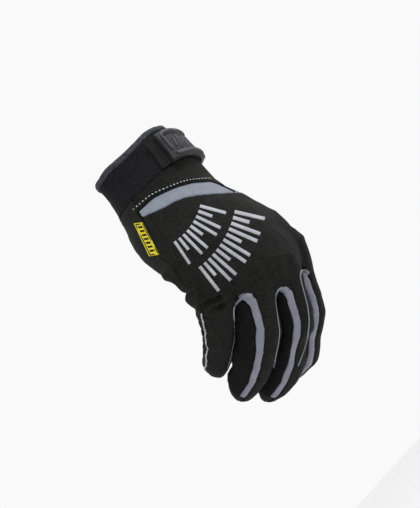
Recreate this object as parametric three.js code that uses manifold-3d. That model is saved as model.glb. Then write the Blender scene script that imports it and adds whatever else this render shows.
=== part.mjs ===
// A work glove for the right hand, in the shape of a hand that hangs with bent fingers
//
// The origin is the centre of the cuff's opening. The fingers point down along -Z,
// the back of the hand faces -Y and the thumb side faces +X.
// "Down" below is the distance from the opening toward the fingertips, "back" is the
// direction of the back of the hand, and "side" is the direction of the thumb.

import * as THREE from "three";
import { mergeVertices } from "three/addons/utils/BufferGeometryUtils.js";
import Module from "manifold-3d";

const wasm = await Module();
wasm.setup();

// Driving sizes, in millimetres
const CUFF_HEIGHT = 26;
const CUFF_WIDTH = 64;
const CUFF_DEPTH = 48;
const HAND_LENGTH = 82;
const PALM_WIDTH = 93;
const PALM_DEPTH = 46;
const FINGER_LENGTH = 100;
const FINGER_WIDTH = 23;
const THUMB_WIDTH = 25;
const WALL = 1.8;
const SEAM_GAP = 0.3;
const BINDING_HEIGHT = 3.2;
const BINDING_RAISE = 0.5;
const BAND_WIDTH = 12;
const TRIM_WIDTH = 4.2;
const TRIM_LINE = 1.2;
const CROTCH_DEPTH = 13;
const CROTCH_ROUND = 9;
const PIPING_DIAMETER = 1.8;
const PIPING_START = 19;
const TAG_LENGTH = 22;
const TAG_WIDTH = 6;
const TAG_THICKNESS = 0.9;
const STRAP_WIDTH = 20;
const STRAP_THICKNESS = 1.8;
const LOOP_THICKNESS = 1.2;
const TAB_LENGTH = 42;
const TAB_THICKNESS = 2.4;
const TAB_RIM = 3.4;
const TAB_RIM_HEIGHT = 1.2;
// The flat end of the web between the fingers stands this far above the cloth, for the cuts
const WEB_RISE = 6;
// The strips between the fingers stand back from their grey edges by the gap, rise by the
// lip, and end at a share of the finger's length
const STRIP_GAP = 0.75;
const STRIP_LIP = 1.2;
const STRIP_END = 0.9;

// Cutting volumes reach this far below and above the cloth's outer face
const CUT_BELOW = -5;
const CUT_ABOVE = 6;
const CUT_FINGER = 3;
// Corners closer than this are made one after a cut
const WELD = 0.025;
const CLOSE_WELD = 1e-4;

// Angles around the cuff and the fingers, in degrees
const TAB_FROM = -13;
const STRAP_TO = 186;
const LOOP_BEFORE_TAB = 12;
const LOOP_SHORT_OF_TAB = 6;
const TAG_BESIDE_SEAM = 3;
// A finger's back reaches this many degrees into the strip beside it, which is cut away
const INTO_GAP = 6;
const CROTCH_SPREAD = 4;

// Places and shares
const SEAM_PAST_HAND = 2.2;
const TAG_START = 1.13;
const PIPING_END = 0.92;
const LOOP_INSET = 0.03;
const STRAP_SHIFT = 1.6;
const WEB_RIM = 0.92;
// Where the little finger begins along the flat oval, and how many fingers' breadths it spans
const WEB_FIRST = 0.3;
const WEB_FINGERS = 3.6;
const BOW_CENTRE = 0.13;
const THUMB_ACROSS = new THREE.Vector3(1, 0.55, 0.1);

// Sections of the cuff and the hand. "Along" is 0 at the opening, 1 at the cuff's seam and
// 2 at the middle knuckle. Half widths are shares of the cuff's and the palm's width, half
// depths shares of their depths, "side" a share of the palm's width, "back" and "sag" of its
// depth. "Arch" brings the outer edges toward the wrist, as a share of the hand's length.
const SECTIONS = [
  { along: 0.0, cuff: 0.5, palm: 0.0, side: 0.0, back: 0.0, sag: 0.05, roll: 0, arch: 0.0 },
  { along: 0.5, cuff: 0.51, palm: 0.0, side: -0.002, back: -0.02, sag: 0.05, roll: 0, arch: 0.0 },
  { along: 1.0, cuff: 0.56, palm: 0.0, side: -0.01, back: -0.07, sag: 0.075, roll: 1, arch: 0.0 },
  { along: 1.23, cuff: 0.0, palm: 0.434, side: -0.04, back: -0.122, sag: 0.135, roll: 0, arch: 0.0 },
  { along: 1.54, cuff: 0.0, palm: 0.492, side: -0.054, back: 0.022, sag: 0.14, roll: 5, arch: 0.05 },
  { along: 1.74, cuff: 0.0, palm: 0.505, side: -0.059, back: 0.12, sag: 0.128, roll: 8, arch: 0.13 },
];
const DEPTHS = [
  { along: 0.0, cuff: 0.5, palm: 0.0 },
  { along: 0.5, cuff: 0.51, palm: 0.0 },
  { along: 1.0, cuff: 0.515, palm: 0.0 },
  { along: 1.23, cuff: 0.0, palm: 0.535 },
  { along: 1.54, cuff: 0.0, palm: 0.487 },
  { along: 1.74, cuff: 0.0, palm: 0.426 },
];

// Fingers: the knuckle's place as shares of the palm's width, the palm's depth and the hand's
// length, roll and spread in degrees, the bend of the knuckle and of the middle joint in
// degrees, the three bones as shares of the finger length, and the girth as a share of its width
const FINGERS = {
  index: {
    side: 0.281, back: 0.246, down: -0.07, roll: -9, spread: 6, knuckle: 38.5, joint: 25,
    bones: [0.45, 0.27, 0.24], girth: 0.5,
  },
  middle: {
    side: 0.045, back: 0.296, down: 0.0, roll: -3.5, spread: 1.5, knuckle: 40, joint: 30.5,
    bones: [0.44, 0.31, 0.25], girth: 0.513,
  },
  ring: {
    side: -0.183, back: 0.241, down: -0.089, roll: 4.5, spread: -4, knuckle: 44, joint: 26,
    bones: [0.41, 0.3, 0.25], girth: 0.491,
  },
  little: {
    side: -0.385, back: 0.046, down: -0.202, roll: 23.5, spread: -13.5, knuckle: 60, joint: 13,
    bones: [0.387, 0.22, 0.22], girth: 0.443,
  },
};

// A finger's half width, and its thickness on the back and the palm side, as shares of its
// girth, where "reach" runs from 0 at the knuckle over 1 and 2 at the two joints to 3 at the tip
const FINGER_SHAPE = [
  { reach: -0.26, wide: 0.55, back: 0.6, palm: 0.9 },
  { reach: 0.0, wide: 0.84, back: 1.0, palm: 1.1 },
  { reach: 0.45, wide: 0.92, back: 1.0, palm: 1.12 },
  { reach: 1.0, wide: 0.94, back: 1.08, palm: 1.06 },
  { reach: 1.6, wide: 0.88, back: 0.92, palm: 1.02 },
  { reach: 2.0, wide: 0.86, back: 0.86, palm: 0.9 },
  { reach: 2.55, wide: 0.79, back: 0.72, palm: 0.82 },
  { reach: 2.85, wide: 0.58, back: 0.5, palm: 0.56 },
  { reach: 2.97, wide: 0.3, back: 0.24, palm: 0.26 },
];

// The thumb's middle line as shares of the palm's width, the palm's depth and the hand's
// length past the cuff's seam, with its half width and half thickness as shares of its width
const THUMB = [
  { side: 0.2, back: -0.12, down: 0.06, wide: 0.5, thick: 0.5 },
  { side: 0.32, back: -0.34, down: 0.32, wide: 0.62, thick: 0.52 },
  { side: 0.4, back: -0.53, down: 0.56, wide: 0.52, thick: 0.48 },
  { side: 0.4, back: -0.68, down: 0.78, wide: 0.47, thick: 0.45 },
  { side: 0.37, back: -0.84, down: 0.97, wide: 0.44, thick: 0.4 },
  { side: 0.33, back: -0.95, down: 1.1, wide: 0.33, thick: 0.29 },
  { side: 0.315, back: -0.99, down: 1.14, wide: 0.16, thick: 0.14 },
];

// Seams between the back and the palm, in degrees around the hand from the middle of the
// back, negative on the little finger's side
const SIDE_SEAMS = [
  { along: 0.9, outer: -69, thumb: 66 },
  { along: 1.16, outer: -68, thumb: 68 },
  { along: 1.33, outer: -68, thumb: 70 },
  { along: 1.44, outer: -75, thumb: 72 },
  { along: 1.54, outer: -79, thumb: 74 },
  { along: 1.74, outer: -77, thumb: 77 },
  { along: 2.2, outer: -80, thumb: 80 },
];

// The crescent band over the wrist: the angle around the hand, the distance of its wrist
// side from the cuff's seam as a share of the hand's length, and its width as a share of
// the band's widest
const BAND = [
  { angle: -64, start: 0.098, width: 0.33 },
  { angle: -46, start: 0.102, width: 0.72 },
  { angle: -26, start: 0.146, width: 0.78 },
  { angle: -8, start: 0.189, width: 0.88 },
  { angle: 8, start: 0.228, width: 1.0 },
  { angle: 24, start: 0.285, width: 0.95 },
  { angle: 42, start: 0.33, width: 0.78 },
  { angle: 60, start: 0.355, width: 0.35 },
];

// Angles from the middle of each finger's back to the edges of its panel
const FINGER_EDGES = {
  index: { outer: 28, thumb: 78 },
  middle: { outer: 46, thumb: 64 },
  ring: { outer: 50, thumb: 62 },
  little: { outer: 86, thumb: 66 },
};
// The gaps between the fingers: the finger on each side, and how far the strip of cloth
// between them runs past the line that joins the fingers' middles, in degrees
const GAPS = [
  { thumb: "ring", outer: "little", palm: 19 },
  { thumb: "middle", outer: "ring", palm: 23 },
  { thumb: "index", outer: "middle", palm: 23 },
];

// Main folds of the cloth: place, height as a share of the wall, and spread along the hand
// as a share of its length and around it in degrees
const FOLDS = [
  { along: 0.5, angle: -100, height: -0.55, length: 0.05, around: 26 },
  { along: 1.06, angle: -96, height: -0.8, length: 0.05, around: 30 },
  { along: 1.74, angle: -112, height: 1.5, length: 0.09, around: 30 },
  { along: 1.6, angle: -96, height: -0.6, length: 0.06, around: 22 },
  { along: 1.2, angle: 10, height: 0.3, length: 0.08, around: 60 },
];
// Folds of the little finger, with their place as a share of its reach
const FINGER_FOLDS = [
  { reach: 0.12, angle: -110, height: 0.9, length: 0.16, around: 40 },
  { reach: 0.42, angle: -104, height: -0.7, length: 0.12, around: 36 },
  { reach: 0.75, angle: -104, height: 0.45, length: 0.14, around: 34 },
];

const CUFF_SIDES = 32;
const FINGER_SIDES = 14;
const THUMB_SIDES = 14;

const radians = THREE.MathUtils.degToRad;
const clamp = THREE.MathUtils.clamp;
const DEGREES = THREE.MathUtils.RAD2DEG;

// A point from its side, back and down distances
function place(side, back, down) {
  return new THREE.Vector3(side, -back, -down);
}

// A smooth value between the rows of a table
function along(table, key, column, value) {
  const last = table.length - 1;
  const x = clamp(value, table[0][key], table[last][key]);
  let i = table.findIndex((row) => row[key] >= x) - 1;
  i = clamp(i, 0, last - 1);
  const slope = (k) => {
    const a = table[Math.max(k - 1, 0)];
    const b = table[Math.min(k + 1, last)];
    return (b[column] - a[column]) / (b[key] - a[key]);
  };
  const span = table[i + 1][key] - table[i][key];
  const t = (x - table[i][key]) / span;
  const start = table[i][column];
  const end = table[i + 1][column];
  const curve = start * (2 * t ** 3 - 3 * t ** 2 + 1) + end * (3 * t ** 2 - 2 * t ** 3);
  const lean = slope(i) * (t ** 3 - 2 * t ** 2 + t) + slope(i + 1) * (t ** 3 - t ** 2);
  return curve + span * lean;
}

function down(station) {
  if (station <= 1) {
    return station * CUFF_HEIGHT;
  }
  return CUFF_HEIGHT + (station - 1) * HAND_LENGTH;
}

function bump(x, width) {
  return Math.exp(-((x / width) ** 2));
}

function turned(angle) {
  return ((angle + 540) % 360) - 180;
}

// A point of the cuff or the hand, at a height above its outer face
function handPoint(station, angle, height) {
  const at = (column) => along(SECTIONS, "along", column, station);
  const depthAt = (column) => along(DEPTHS, "along", column, station);
  let lift = height;
  for (const fold of FOLDS) {
    const far = (down(station) - down(fold.along)) / HAND_LENGTH;
    const near = bump(far, fold.length) * bump(turned(angle - fold.angle), fold.around);
    lift += fold.height * WALL * near;
  }
  const s = Math.sin(radians(angle));
  const c = Math.cos(radians(angle));
  const halfWidth = at("cuff") * CUFF_WIDTH + at("palm") * PALM_WIDTH + lift;
  const halfDepth = depthAt("cuff") * CUFF_DEPTH + depthAt("palm") * PALM_DEPTH + lift;
  const sag = at("sag") * PALM_DEPTH;
  const wide = halfWidth * s;
  const deepness = halfDepth * c - sag * (s * s - 0.3);
  const roll = radians(at("roll"));
  const side = at("side") * PALM_WIDTH + Math.cos(roll) * wide - Math.sin(roll) * deepness;
  const back = at("back") * PALM_DEPTH + Math.sin(roll) * wide + Math.cos(roll) * deepness;
  const bow = at("arch") * HAND_LENGTH * ((2 * side) / PALM_WIDTH - BOW_CENTRE) ** 2;
  return place(side, back, down(station) - bow);
}

// The middle line of a finger, bent at its knuckle and joints
function makeFinger(row) {
  const roll = radians(row.roll);
  const spread = radians(row.spread);
  const outward = new THREE.Vector3(-Math.sin(roll), Math.cos(roll), 0);
  const across = new THREE.Vector3(Math.cos(roll), Math.sin(roll), 0);
  const straight = new THREE.Vector3(0, 0, Math.cos(spread));
  straight.addScaledVector(across, Math.sin(spread));
  const lateral = across.clone().multiplyScalar(Math.cos(spread));
  lateral.z = -Math.sin(spread);
  const bones = row.bones.map((share) => share * FINGER_LENGTH);
  const ends = [0, bones[0], bones[0] + bones[1], bones[0] + bones[1] + bones[2]];
  const ease = (s, centre, half) => THREE.MathUtils.smoothstep(s, centre - half, centre + half);
  const bend = (s) => {
    const first = row.knuckle * ease(s, -2, 13);
    const second = row.joint * ease(s, ends[1], 10);
    const third = 0.6 * row.joint * ease(s, ends[2], 8);
    return radians(first + second + third);
  };
  const heading = (angle) => {
    const forward = straight.clone().multiplyScalar(Math.cos(angle));
    return forward.addScaledVector(outward, -Math.sin(angle));
  };
  const knuckle = new THREE.Vector3(
    row.side * PALM_WIDTH,
    row.back * PALM_DEPTH,
    CUFF_HEIGHT + (1 + row.down) * HAND_LENGTH,
  );
  const anchor = CROTCH_DEPTH + 1;
  const start = knuckle.addScaledVector(heading(bend(anchor)), anchor);
  const reach = (s) => {
    const steps = 24;
    const point = start.clone();
    for (let k = 0; k < steps; k += 1) {
      const middle = anchor + ((s - anchor) * (k + 0.5)) / steps;
      point.addScaledVector(heading(bend(middle)), (s - anchor) / steps);
    }
    return point;
  };
  const frame = (s) => {
    const angle = bend(s);
    const normal = outward.clone().multiplyScalar(Math.cos(angle));
    normal.addScaledVector(straight, Math.sin(angle));
    return { centre: reach(s), forward: heading(angle), normal, lateral };
  };
  const radius = row.girth * FINGER_WIDTH;
  return { row, ends, length: ends[3], radius, frame };
}

const fingers = {};
for (const [name, row] of Object.entries(FINGERS)) {
  fingers[name] = makeFinger(row);
}

// How far along its bones a finger's station lies
function reachOf(finger, s) {
  if (s < 0) {
    return s / finger.ends[1];
  }
  for (let k = 1; k < 4; k += 1) {
    if (s <= finger.ends[k]) {
      return k - 1 + (s - finger.ends[k - 1]) / (finger.ends[k] - finger.ends[k - 1]);
    }
  }
  return 3;
}

function fingerPoint(finger, s, angle, height) {
  const { centre, normal, lateral } = finger.frame(s);
  const reach = reachOf(finger, s);
  let lift = height;
  if (finger === fingers.little) {
    for (const fold of FINGER_FOLDS) {
      const near = bump(reach - fold.reach, fold.length) * bump(turned(angle - fold.angle), fold.around);
      lift += fold.height * WALL * near;
    }
  }
  const wide = along(FINGER_SHAPE, "reach", "wide", reach) * finger.radius + lift;
  const half = Math.abs(turned(angle)) < 90 ? "back" : "palm";
  const thick = along(FINGER_SHAPE, "reach", half, reach) * finger.radius + lift;
  const point = centre.clone();
  point.addScaledVector(normal, thick * Math.cos(radians(angle)));
  point.addScaledVector(lateral, wide * Math.sin(radians(angle)));
  return place(point.x, point.y, point.z);
}

// Where the hand turns into the fingers: a flat oval whose middle line runs through
// the four fingers at the same distance past their knuckles
function webPoint(web, s, angle, height) {
  const row = [fingers.little, fingers.ring, fingers.middle, fingers.index];
  const frames = row.map((finger) => finger.frame(s));
  const outer = frames[0].centre.clone();
  outer.addScaledVector(frames[0].lateral, -(fingers.little.radius * WEB_RIM + height));
  const thumbSide = frames[3].centre.clone();
  thumbSide.addScaledVector(frames[3].lateral, fingers.index.radius * WEB_RIM + height);
  const line = new THREE.CatmullRomCurve3([outer, ...frames.map((f) => f.centre), thumbSide]);
  const share = (Math.sin(radians(angle)) + 1) / 2;
  const point = line.getPointAt(clamp(share, 0, 1));
  const order = clamp(share * WEB_FINGERS - WEB_FIRST, 0, 3);
  const low = Math.min(Math.floor(order), 2);
  const normal = frames[low].normal.clone().lerp(frames[low + 1].normal, order - low).normalize();
  const thickness = Math.abs(turned(angle)) < 90 ? web.back : web.palm;
  const half = (FINGER_WIDTH / 2) * thickness + height;
  point.addScaledVector(normal, half * Math.cos(radians(angle)));
  return place(point.x, point.y, point.z);
}

// Closes a skin of triangles, with every face turned outward
function closedGeometry(points, faces) {
  let volume = 0;
  for (const [a, b, c] of faces) {
    volume += points[a].dot(points[b].clone().cross(points[c]));
  }
  const index = faces.flatMap(([a, b, c]) => (volume > 0 ? [a, b, c] : [a, c, b]));
  const geometry = new THREE.BufferGeometry();
  const places = points.flatMap((p) => p.toArray());
  geometry.setAttribute("position", new THREE.Float32BufferAttribute(places, 3));
  geometry.setIndex(index);
  return geometry;
}

function quad(faces, a, b, c, d) {
  faces.push([a, b, c], [a, c, d]);
}

// A sheet of cloth between two heights over a grid of places
function slab(rows, cols, at, low, high, wrap = false) {
  const points = [];
  for (const height of [low, high]) {
    for (let i = 0; i < rows; i += 1) {
      for (let j = 0; j < cols; j += 1) {
        points.push(at(i, j, height));
      }
    }
  }
  const id = (level, i, j) => (level * rows + i) * cols + (j % cols);
  const faces = [];
  const across = wrap ? cols : cols - 1;
  for (let i = 0; i < rows - 1; i += 1) {
    for (let j = 0; j < across; j += 1) {
      quad(faces, id(1, i, j), id(1, i + 1, j), id(1, i + 1, j + 1), id(1, i, j + 1));
      quad(faces, id(0, i, j), id(0, i, j + 1), id(0, i + 1, j + 1), id(0, i + 1, j));
    }
  }
  const end = rows - 1;
  for (let j = 0; j < across; j += 1) {
    quad(faces, id(1, 0, j), id(1, 0, j + 1), id(0, 0, j + 1), id(0, 0, j));
    quad(faces, id(1, end, j + 1), id(1, end, j), id(0, end, j), id(0, end, j + 1));
  }
  if (!wrap) {
    const side = cols - 1;
    for (let i = 0; i < end; i += 1) {
      quad(faces, id(1, i + 1, 0), id(1, i, 0), id(0, i, 0), id(0, i + 1, 0));
      quad(faces, id(1, i, side), id(1, i + 1, side), id(0, i + 1, side), id(0, i, side));
    }
  }
  return closedGeometry(points, faces);
}

// A solid through a row of rings, each closed at its ends by a fan, or by a
// flat strip between the ring's two long sides
function loft(rings, stripEnd = false) {
  const count = rings[0].length;
  const points = rings.flat();
  const faces = [];
  for (let i = 0; i < rings.length - 1; i += 1) {
    for (let j = 0; j < count; j += 1) {
      const k = (j + 1) % count;
      quad(faces, i * count + j, (i + 1) * count + j, (i + 1) * count + k, i * count + k);
    }
  }
  const fan = (first, ring, flip) => {
    const middle = ring.reduce((sum, p) => sum.add(p), new THREE.Vector3()).divideScalar(count);
    points.push(middle);
    const tip = points.length - 1;
    for (let j = 0; j < count; j += 1) {
      const a = first + j;
      const b = first + ((j + 1) % count);
      faces.push(flip ? [tip, b, a] : [tip, a, b]);
    }
  };
  fan(0, rings[0], false);
  const last = (rings.length - 1) * count;
  if (!stripEnd) {
    fan(last, rings[rings.length - 1], true);
    return closedGeometry(points, faces);
  }
  const quarter = count / 4;
  const id = (k) => last + ((k + count) % count);
  for (let k = quarter; k > -quarter; k -= 1) {
    const a = id(k);
    const b = id(k - 1);
    const c = id(2 * quarter - k + 1);
    const d = id(2 * quarter - k);
    if (k === quarter) {
      faces.push([a, b, c]);
    } else if (k === 1 - quarter) {
      faces.push([a, b, d]);
    } else {
      quad(faces, a, b, c, d);
    }
  }
  return closedGeometry(points, faces);
}

// A closed mesh as a solid, with corners closer than the weld distance made one
function toSolid(geometry, weld = CLOSE_WELD) {
  const bare = mergeVertices(geometry, weld);
  const corners = bare.index.array;
  const kept = [];
  for (let i = 0; i < corners.length; i += 3) {
    const [a, b, c] = corners.slice(i, i + 3);
    if (a !== b && b !== c && c !== a) {
      kept.push(a, b, c);
    }
  }
  return new wasm.Manifold(
    new wasm.Mesh({
      numProp: 3,
      vertProperties: new Float32Array(bare.attributes.position.array),
      triVerts: new Uint32Array(kept),
    }),
  );
}

// The largest body of a cut solid, without the crumbs that a cut leaves
function mainBody(solid) {
  const bodies = solid.decompose();
  let best = bodies[0];
  for (const body of bodies) {
    if (body.volume() > best.volume()) {
      best = body;
    }
  }
  return best;
}

function meshOf(solid) {
  const mesh = mainBody(solid).getMesh();
  const geometry = new THREE.BufferGeometry();
  geometry.setAttribute("position", new THREE.BufferAttribute(mesh.vertProperties, 3));
  geometry.setIndex(new THREE.BufferAttribute(mesh.triVerts, 1));
  return geometry;
}

function toGeometry(solid) {
  return meshOf(toSolid(meshOf(solid), WELD));
}

function union(solids) {
  return solids.reduce((sum, solid) => sum.add(solid));
}

function steps(from, to, count) {
  return Array.from({ length: count }, (_, k) => from + ((to - from) * k) / (count - 1));
}

// The hand without its fingers
const HAND_STATIONS = [-0.1, 0.85, 1.0, 1.1, 1.23, 1.37, 1.52, 1.64, 1.74];
const WEB_STATIONS = [
  { past: -CROTCH_DEPTH, back: 0.98, palm: 1.75 },
  { past: -5, back: 0.93, palm: 1.5 },
  { past: 2, back: 0.72, palm: 1.2 },
  { past: 9, back: 0.3, palm: 0.95 },
];
const webReach = (web) => CROTCH_DEPTH + web.past;
const RING_ANGLES = Array.from({ length: CUFF_SIDES }, (_, k) => (k * 360) / CUFF_SIDES);

function handRings(height, shorten) {
  const rings = HAND_STATIONS.map((s) => RING_ANGLES.map((angle) => handPoint(s, angle, height)));
  for (const web of WEB_STATIONS) {
    const s = webReach(web) + shorten;
    rings.push(RING_ANGLES.map((angle) => webPoint(web, s, angle, height)));
  }
  return rings;
}

// Stations along a finger, in shares of its bones
const FINGER_STATIONS = [-0.26, 0.02, 0.26, 0.5, 0.78, 1.0, 1.25, 1.75, 2.1, 2.5];
const TIP_STATIONS = [2.8, 2.95];

function bonePlace(finger, reach) {
  const k = clamp(Math.floor(reach), 0, 2);
  if (reach < 0) {
    return reach * finger.ends[1];
  }
  return finger.ends[k] + (reach - k) * (finger.ends[k + 1] - finger.ends[k]);
}

function fingerBody(finger, height) {
  const angles = Array.from({ length: FINGER_SIDES }, (_, k) => ((k + 0.5) * 360) / FINGER_SIDES);
  const rings = [...FINGER_STATIONS, ...TIP_STATIONS].map((reach) => {
    const tipShare = clamp((reach - 2) / 1, 0, 1);
    const s = bonePlace(finger, reach) + height * tipShare;
    return angles.map((angle) => fingerPoint(finger, s, angle, height));
  });
  return toSolid(loft(rings));
}

function wholeHand(height) {
  const hand = toSolid(loft(handRings(height, height), true));
  return union([hand, ...Object.values(fingers).map((finger) => fingerBody(finger, height))]);
}

const outerHand = wholeHand(0);
const innerHand = wholeHand(-WALL);

// The thumb's tube
function thumbPlace(row) {
  const deep = CUFF_HEIGHT + row.down * HAND_LENGTH;
  return new THREE.Vector3(row.side * PALM_WIDTH, row.back * PALM_DEPTH, deep);
}

const thumbLine = new THREE.CatmullRomCurve3(THUMB.map(thumbPlace));
const thumbRows = THUMB.map((row, k) => ({ ...row, share: k / (THUMB.length - 1) }));
const THUMB_STATIONS = [...steps(0.02, 0.8, 9), 0.88, 0.94, 0.985];
// The thumb's wall closes over its tip from this share of its length on
const THUMB_TIP = 0.6;

function thumbPoint(share, angle, height) {
  const centre = thumbLine.getPoint(share);
  const forward = thumbLine.getTangent(share);
  const normal = forward.clone().cross(THUMB_ACROSS).normalize();
  const lateral = normal.clone().cross(forward).normalize();
  const wide = along(thumbRows, "share", "wide", share) * THUMB_WIDTH + height;
  const thick = along(thumbRows, "share", "thick", share) * THUMB_WIDTH + height;
  centre.addScaledVector(normal, thick * Math.cos(radians(angle)));
  centre.addScaledVector(lateral, wide * Math.sin(radians(angle)));
  return place(centre.x, centre.y, centre.z);
}

function thumbBody(height) {
  const angles = Array.from({ length: THUMB_SIDES }, (_, k) => (k * 360) / THUMB_SIDES);
  const tipShort = height / (THUMB_WIDTH * 6);
  const rings = THUMB_STATIONS.map((share) => {
    const pull = tipShort * clamp((share - THUMB_TIP) / (1 - THUMB_TIP), 0, 1);
    return angles.map((angle) => thumbPoint(share + pull, angle, height));
  });
  return toSolid(loft(rings));
}

const thumbHole = thumbBody(-WALL);
const thumbShell = thumbBody(0).subtract(thumbHole);

function seamLine(station) {
  return {
    outer: along(SIDE_SEAMS, "along", "outer", station),
    thumb: along(SIDE_SEAMS, "along", "thumb", station),
  };
}

// The back of the hand and of its fingers, grown or shrunk by a distance at its seams
function backRegion(grow) {
  const cols = 13;
  const stations = [0.8, ...HAND_STATIONS.filter((s) => s >= 0.85)];
  const swell = (grow / (PALM_DEPTH / 2)) * DEGREES;
  const webs = WEB_STATIONS.slice(0, 3).map((web) => ({ web }));
  const all = [...stations.map((s) => ({ hand: s })), ...webs];
  const at = (i, j, height) => {
    const here = all[i];
    const seam = seamLine(here.hand ?? SEAM_PAST_HAND);
    const from = seam.outer - swell;
    const to = seam.thumb + swell;
    const angle = from + ((to - from) * j) / (cols - 1);
    if (here.hand !== undefined) {
      return handPoint(here.hand, angle, height);
    }
    const beyond = i === all.length - 1 ? grow : 0;
    return webPoint(here.web, webReach(here.web) + beyond, angle, height);
  };
  const pieces = [toSolid(slab(all.length, cols, at, CUT_BELOW, CUT_ABOVE))];
  for (const [name, finger] of Object.entries(fingers)) {
    const turn = (grow / finger.radius) * DEGREES;
    const edges = FINGER_EDGES[name];
    const outer = edges.outer + turn + (name === "little" ? 0 : INTO_GAP);
    const thumb = edges.thumb + turn + (name === "index" ? 0 : INTO_GAP);
    const angles = steps(-outer, thumb, 5);
    const rings = [...FINGER_STATIONS, 2.8, 2.97].map((reach, k) => {
      const s = bonePlace(finger, reach) - (k === 0 ? 2 * grow : 0);
      const ring = angles.map((angle) => fingerPoint(finger, s, angle, CUT_FINGER));
      const axis = finger.frame(s).centre;
      return [...ring, place(axis.x, axis.y, axis.z)];
    });
    const tip = finger.frame(finger.length);
    const beyond = place(...tip.forward.clone().multiplyScalar(CUT_ABOVE).toArray());
    rings.push(rings[rings.length - 1].map((p) => p.clone().add(beyond)));
    pieces.push(toSolid(loft(rings)));
  }
  return union(pieces);
}

// The strips of cloth on the facing sides of two neighbouring fingers, and the web that
// joins them. The distances move the edge on each finger's back, the top of the U, and the
// edges on the palm side
function gapRegion(gap, lineIn, wideIn, topIn, palmOut, cuts) {
  const lip = cuts ? STRIP_LIP : STRIP_LIP / 2;
  const webHeight = cuts ? STRIP_LIP / 2 : 0;
  const webRise = cuts ? WEB_RISE + 2 * SEAM_GAP : WEB_RISE - 2 * SEAM_GAP;
  const near = fingers[gap.outer];
  const far = fingers[gap.thumb];
  const start = CROTCH_DEPTH + topIn;
  const shift = ((far.row.down - near.row.down) * HAND_LENGTH) / 2;
  const turn = (finger, distance) => (distance / finger.radius) * DEGREES;
  const nearFrame = near.frame(CROTCH_DEPTH + shift);
  const farFrame = far.frame(CROTCH_DEPTH - shift);
  const between = farFrame.centre.clone().sub(nearFrame.centre);
  const lean = (frame, sign) =>
    Math.atan2(Math.abs(between.dot(frame.lateral)), sign * between.dot(frame.normal)) * DEGREES;
  const sides = [
    {
      finger: near,
      sign: 1,
      shift,
      from: FINGER_EDGES[gap.outer].thumb,
      into: lineIn,
      facing: lean(nearFrame, 1),
    },
    {
      finger: far,
      sign: -1,
      shift: -shift,
      from: FINGER_EDGES[gap.thumb].outer,
      into: wideIn,
      facing: lean(farFrame, -1),
    },
  ];
  const edges = (side, s, t) => {
    const close = 1 - Math.sqrt(1 - (1 - t) ** 2);
    const open = side.from + turn(side.finger, side.into);
    const past = (s - side.shift - CROTCH_DEPTH) / CROTCH_ROUND;
    const spread = CROTCH_SPREAD + (gap.palm - CROTCH_SPREAD) * clamp(past, 0, 1);
    return {
      top: open + (side.facing - open) * close,
      palm: side.facing + spread + turn(side.finger, palmOut),
    };
  };
  const point = (side, s, angle, height) => fingerPoint(side.finger, s, side.sign * angle, height);
  const tops = [0, 0.12, 0.45, 1];
  const strips = sides.map((side) => {
    const first = start + side.shift;
    const rounded = tops.map((t) => ({ s: first + t * CROTCH_ROUND, t }));
    const last = side.finger.length * STRIP_END;
    const level = CROTCH_DEPTH + side.shift + CROTCH_ROUND + TRIM_WIDTH + 2 * STRIP_GAP;
    const stations = steps(level, last, 6);
    stations[5] += palmOut;
    const straight = stations.map((s) => ({ s, t: 1 }));
    const rings = [...rounded, ...straight].map(({ s, t }) => {
      const { top, palm } = edges(side, s, t);
      const outside = [0, 0.33, 0.67, 1].map((k) => point(side, s, palm + (top - palm) * k, lip));
      return [...outside, point(side, s, top, CUT_BELOW), point(side, s, palm, CUT_BELOW)];
    });
    return toSolid(loft(rings));
  });
  const webRings = [...tops, 1.4].map((t) => {
    const [a, b] = sides.map((side) => {
      const s = start + side.shift + t * CROTCH_ROUND;
      const { top, palm } = edges(side, s, Math.min(t, 1));
      return {
        top: point(side, s, top, webHeight),
        innerTop: point(side, s, top, CUT_BELOW / 2),
        innerPalm: point(side, s, palm, CUT_BELOW / 2),
        palm: point(side, s, palm, webHeight),
      };
    });
    const upward = nearFrame.normal.clone().add(farFrame.normal).multiplyScalar(webRise / 2);
    const rise = place(upward.x, upward.y, upward.z);
    const above = a.top.clone().add(b.top).multiplyScalar(0.5).add(rise);
    return [above, a.top, a.innerTop, a.innerPalm, a.palm, b.palm, b.innerPalm, b.innerTop, b.top];
  });
  return union([...strips, toSolid(loft(webRings))]);
}

// The cuff's seam, the wrist's panel and the crescent band
function bandStart(angle) {
  return 1 + along(BAND, "angle", "start", angle);
}

function bandEnd(angle) {
  return bandStart(angle) + (along(BAND, "angle", "width", angle) * BAND_WIDTH) / HAND_LENGTH;
}

const PANEL_ANGLES = [-67.3, -62, -54, -45, -36, -26, -17, -8, 0, 8, 16, 24, 33, 42, 51, 59, 65];
const gapShare = SEAM_GAP / HAND_LENGTH;

function panelBetween(from, to, angles, rows, low, high) {
  const at = (i, j, height) => {
    const angle = angles[j];
    const station = from(angle) + ((to(angle) - from(angle)) * i) / (rows - 1);
    return handPoint(station, angle, height);
  };
  return slab(rows, angles.length, at, low, high);
}

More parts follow.
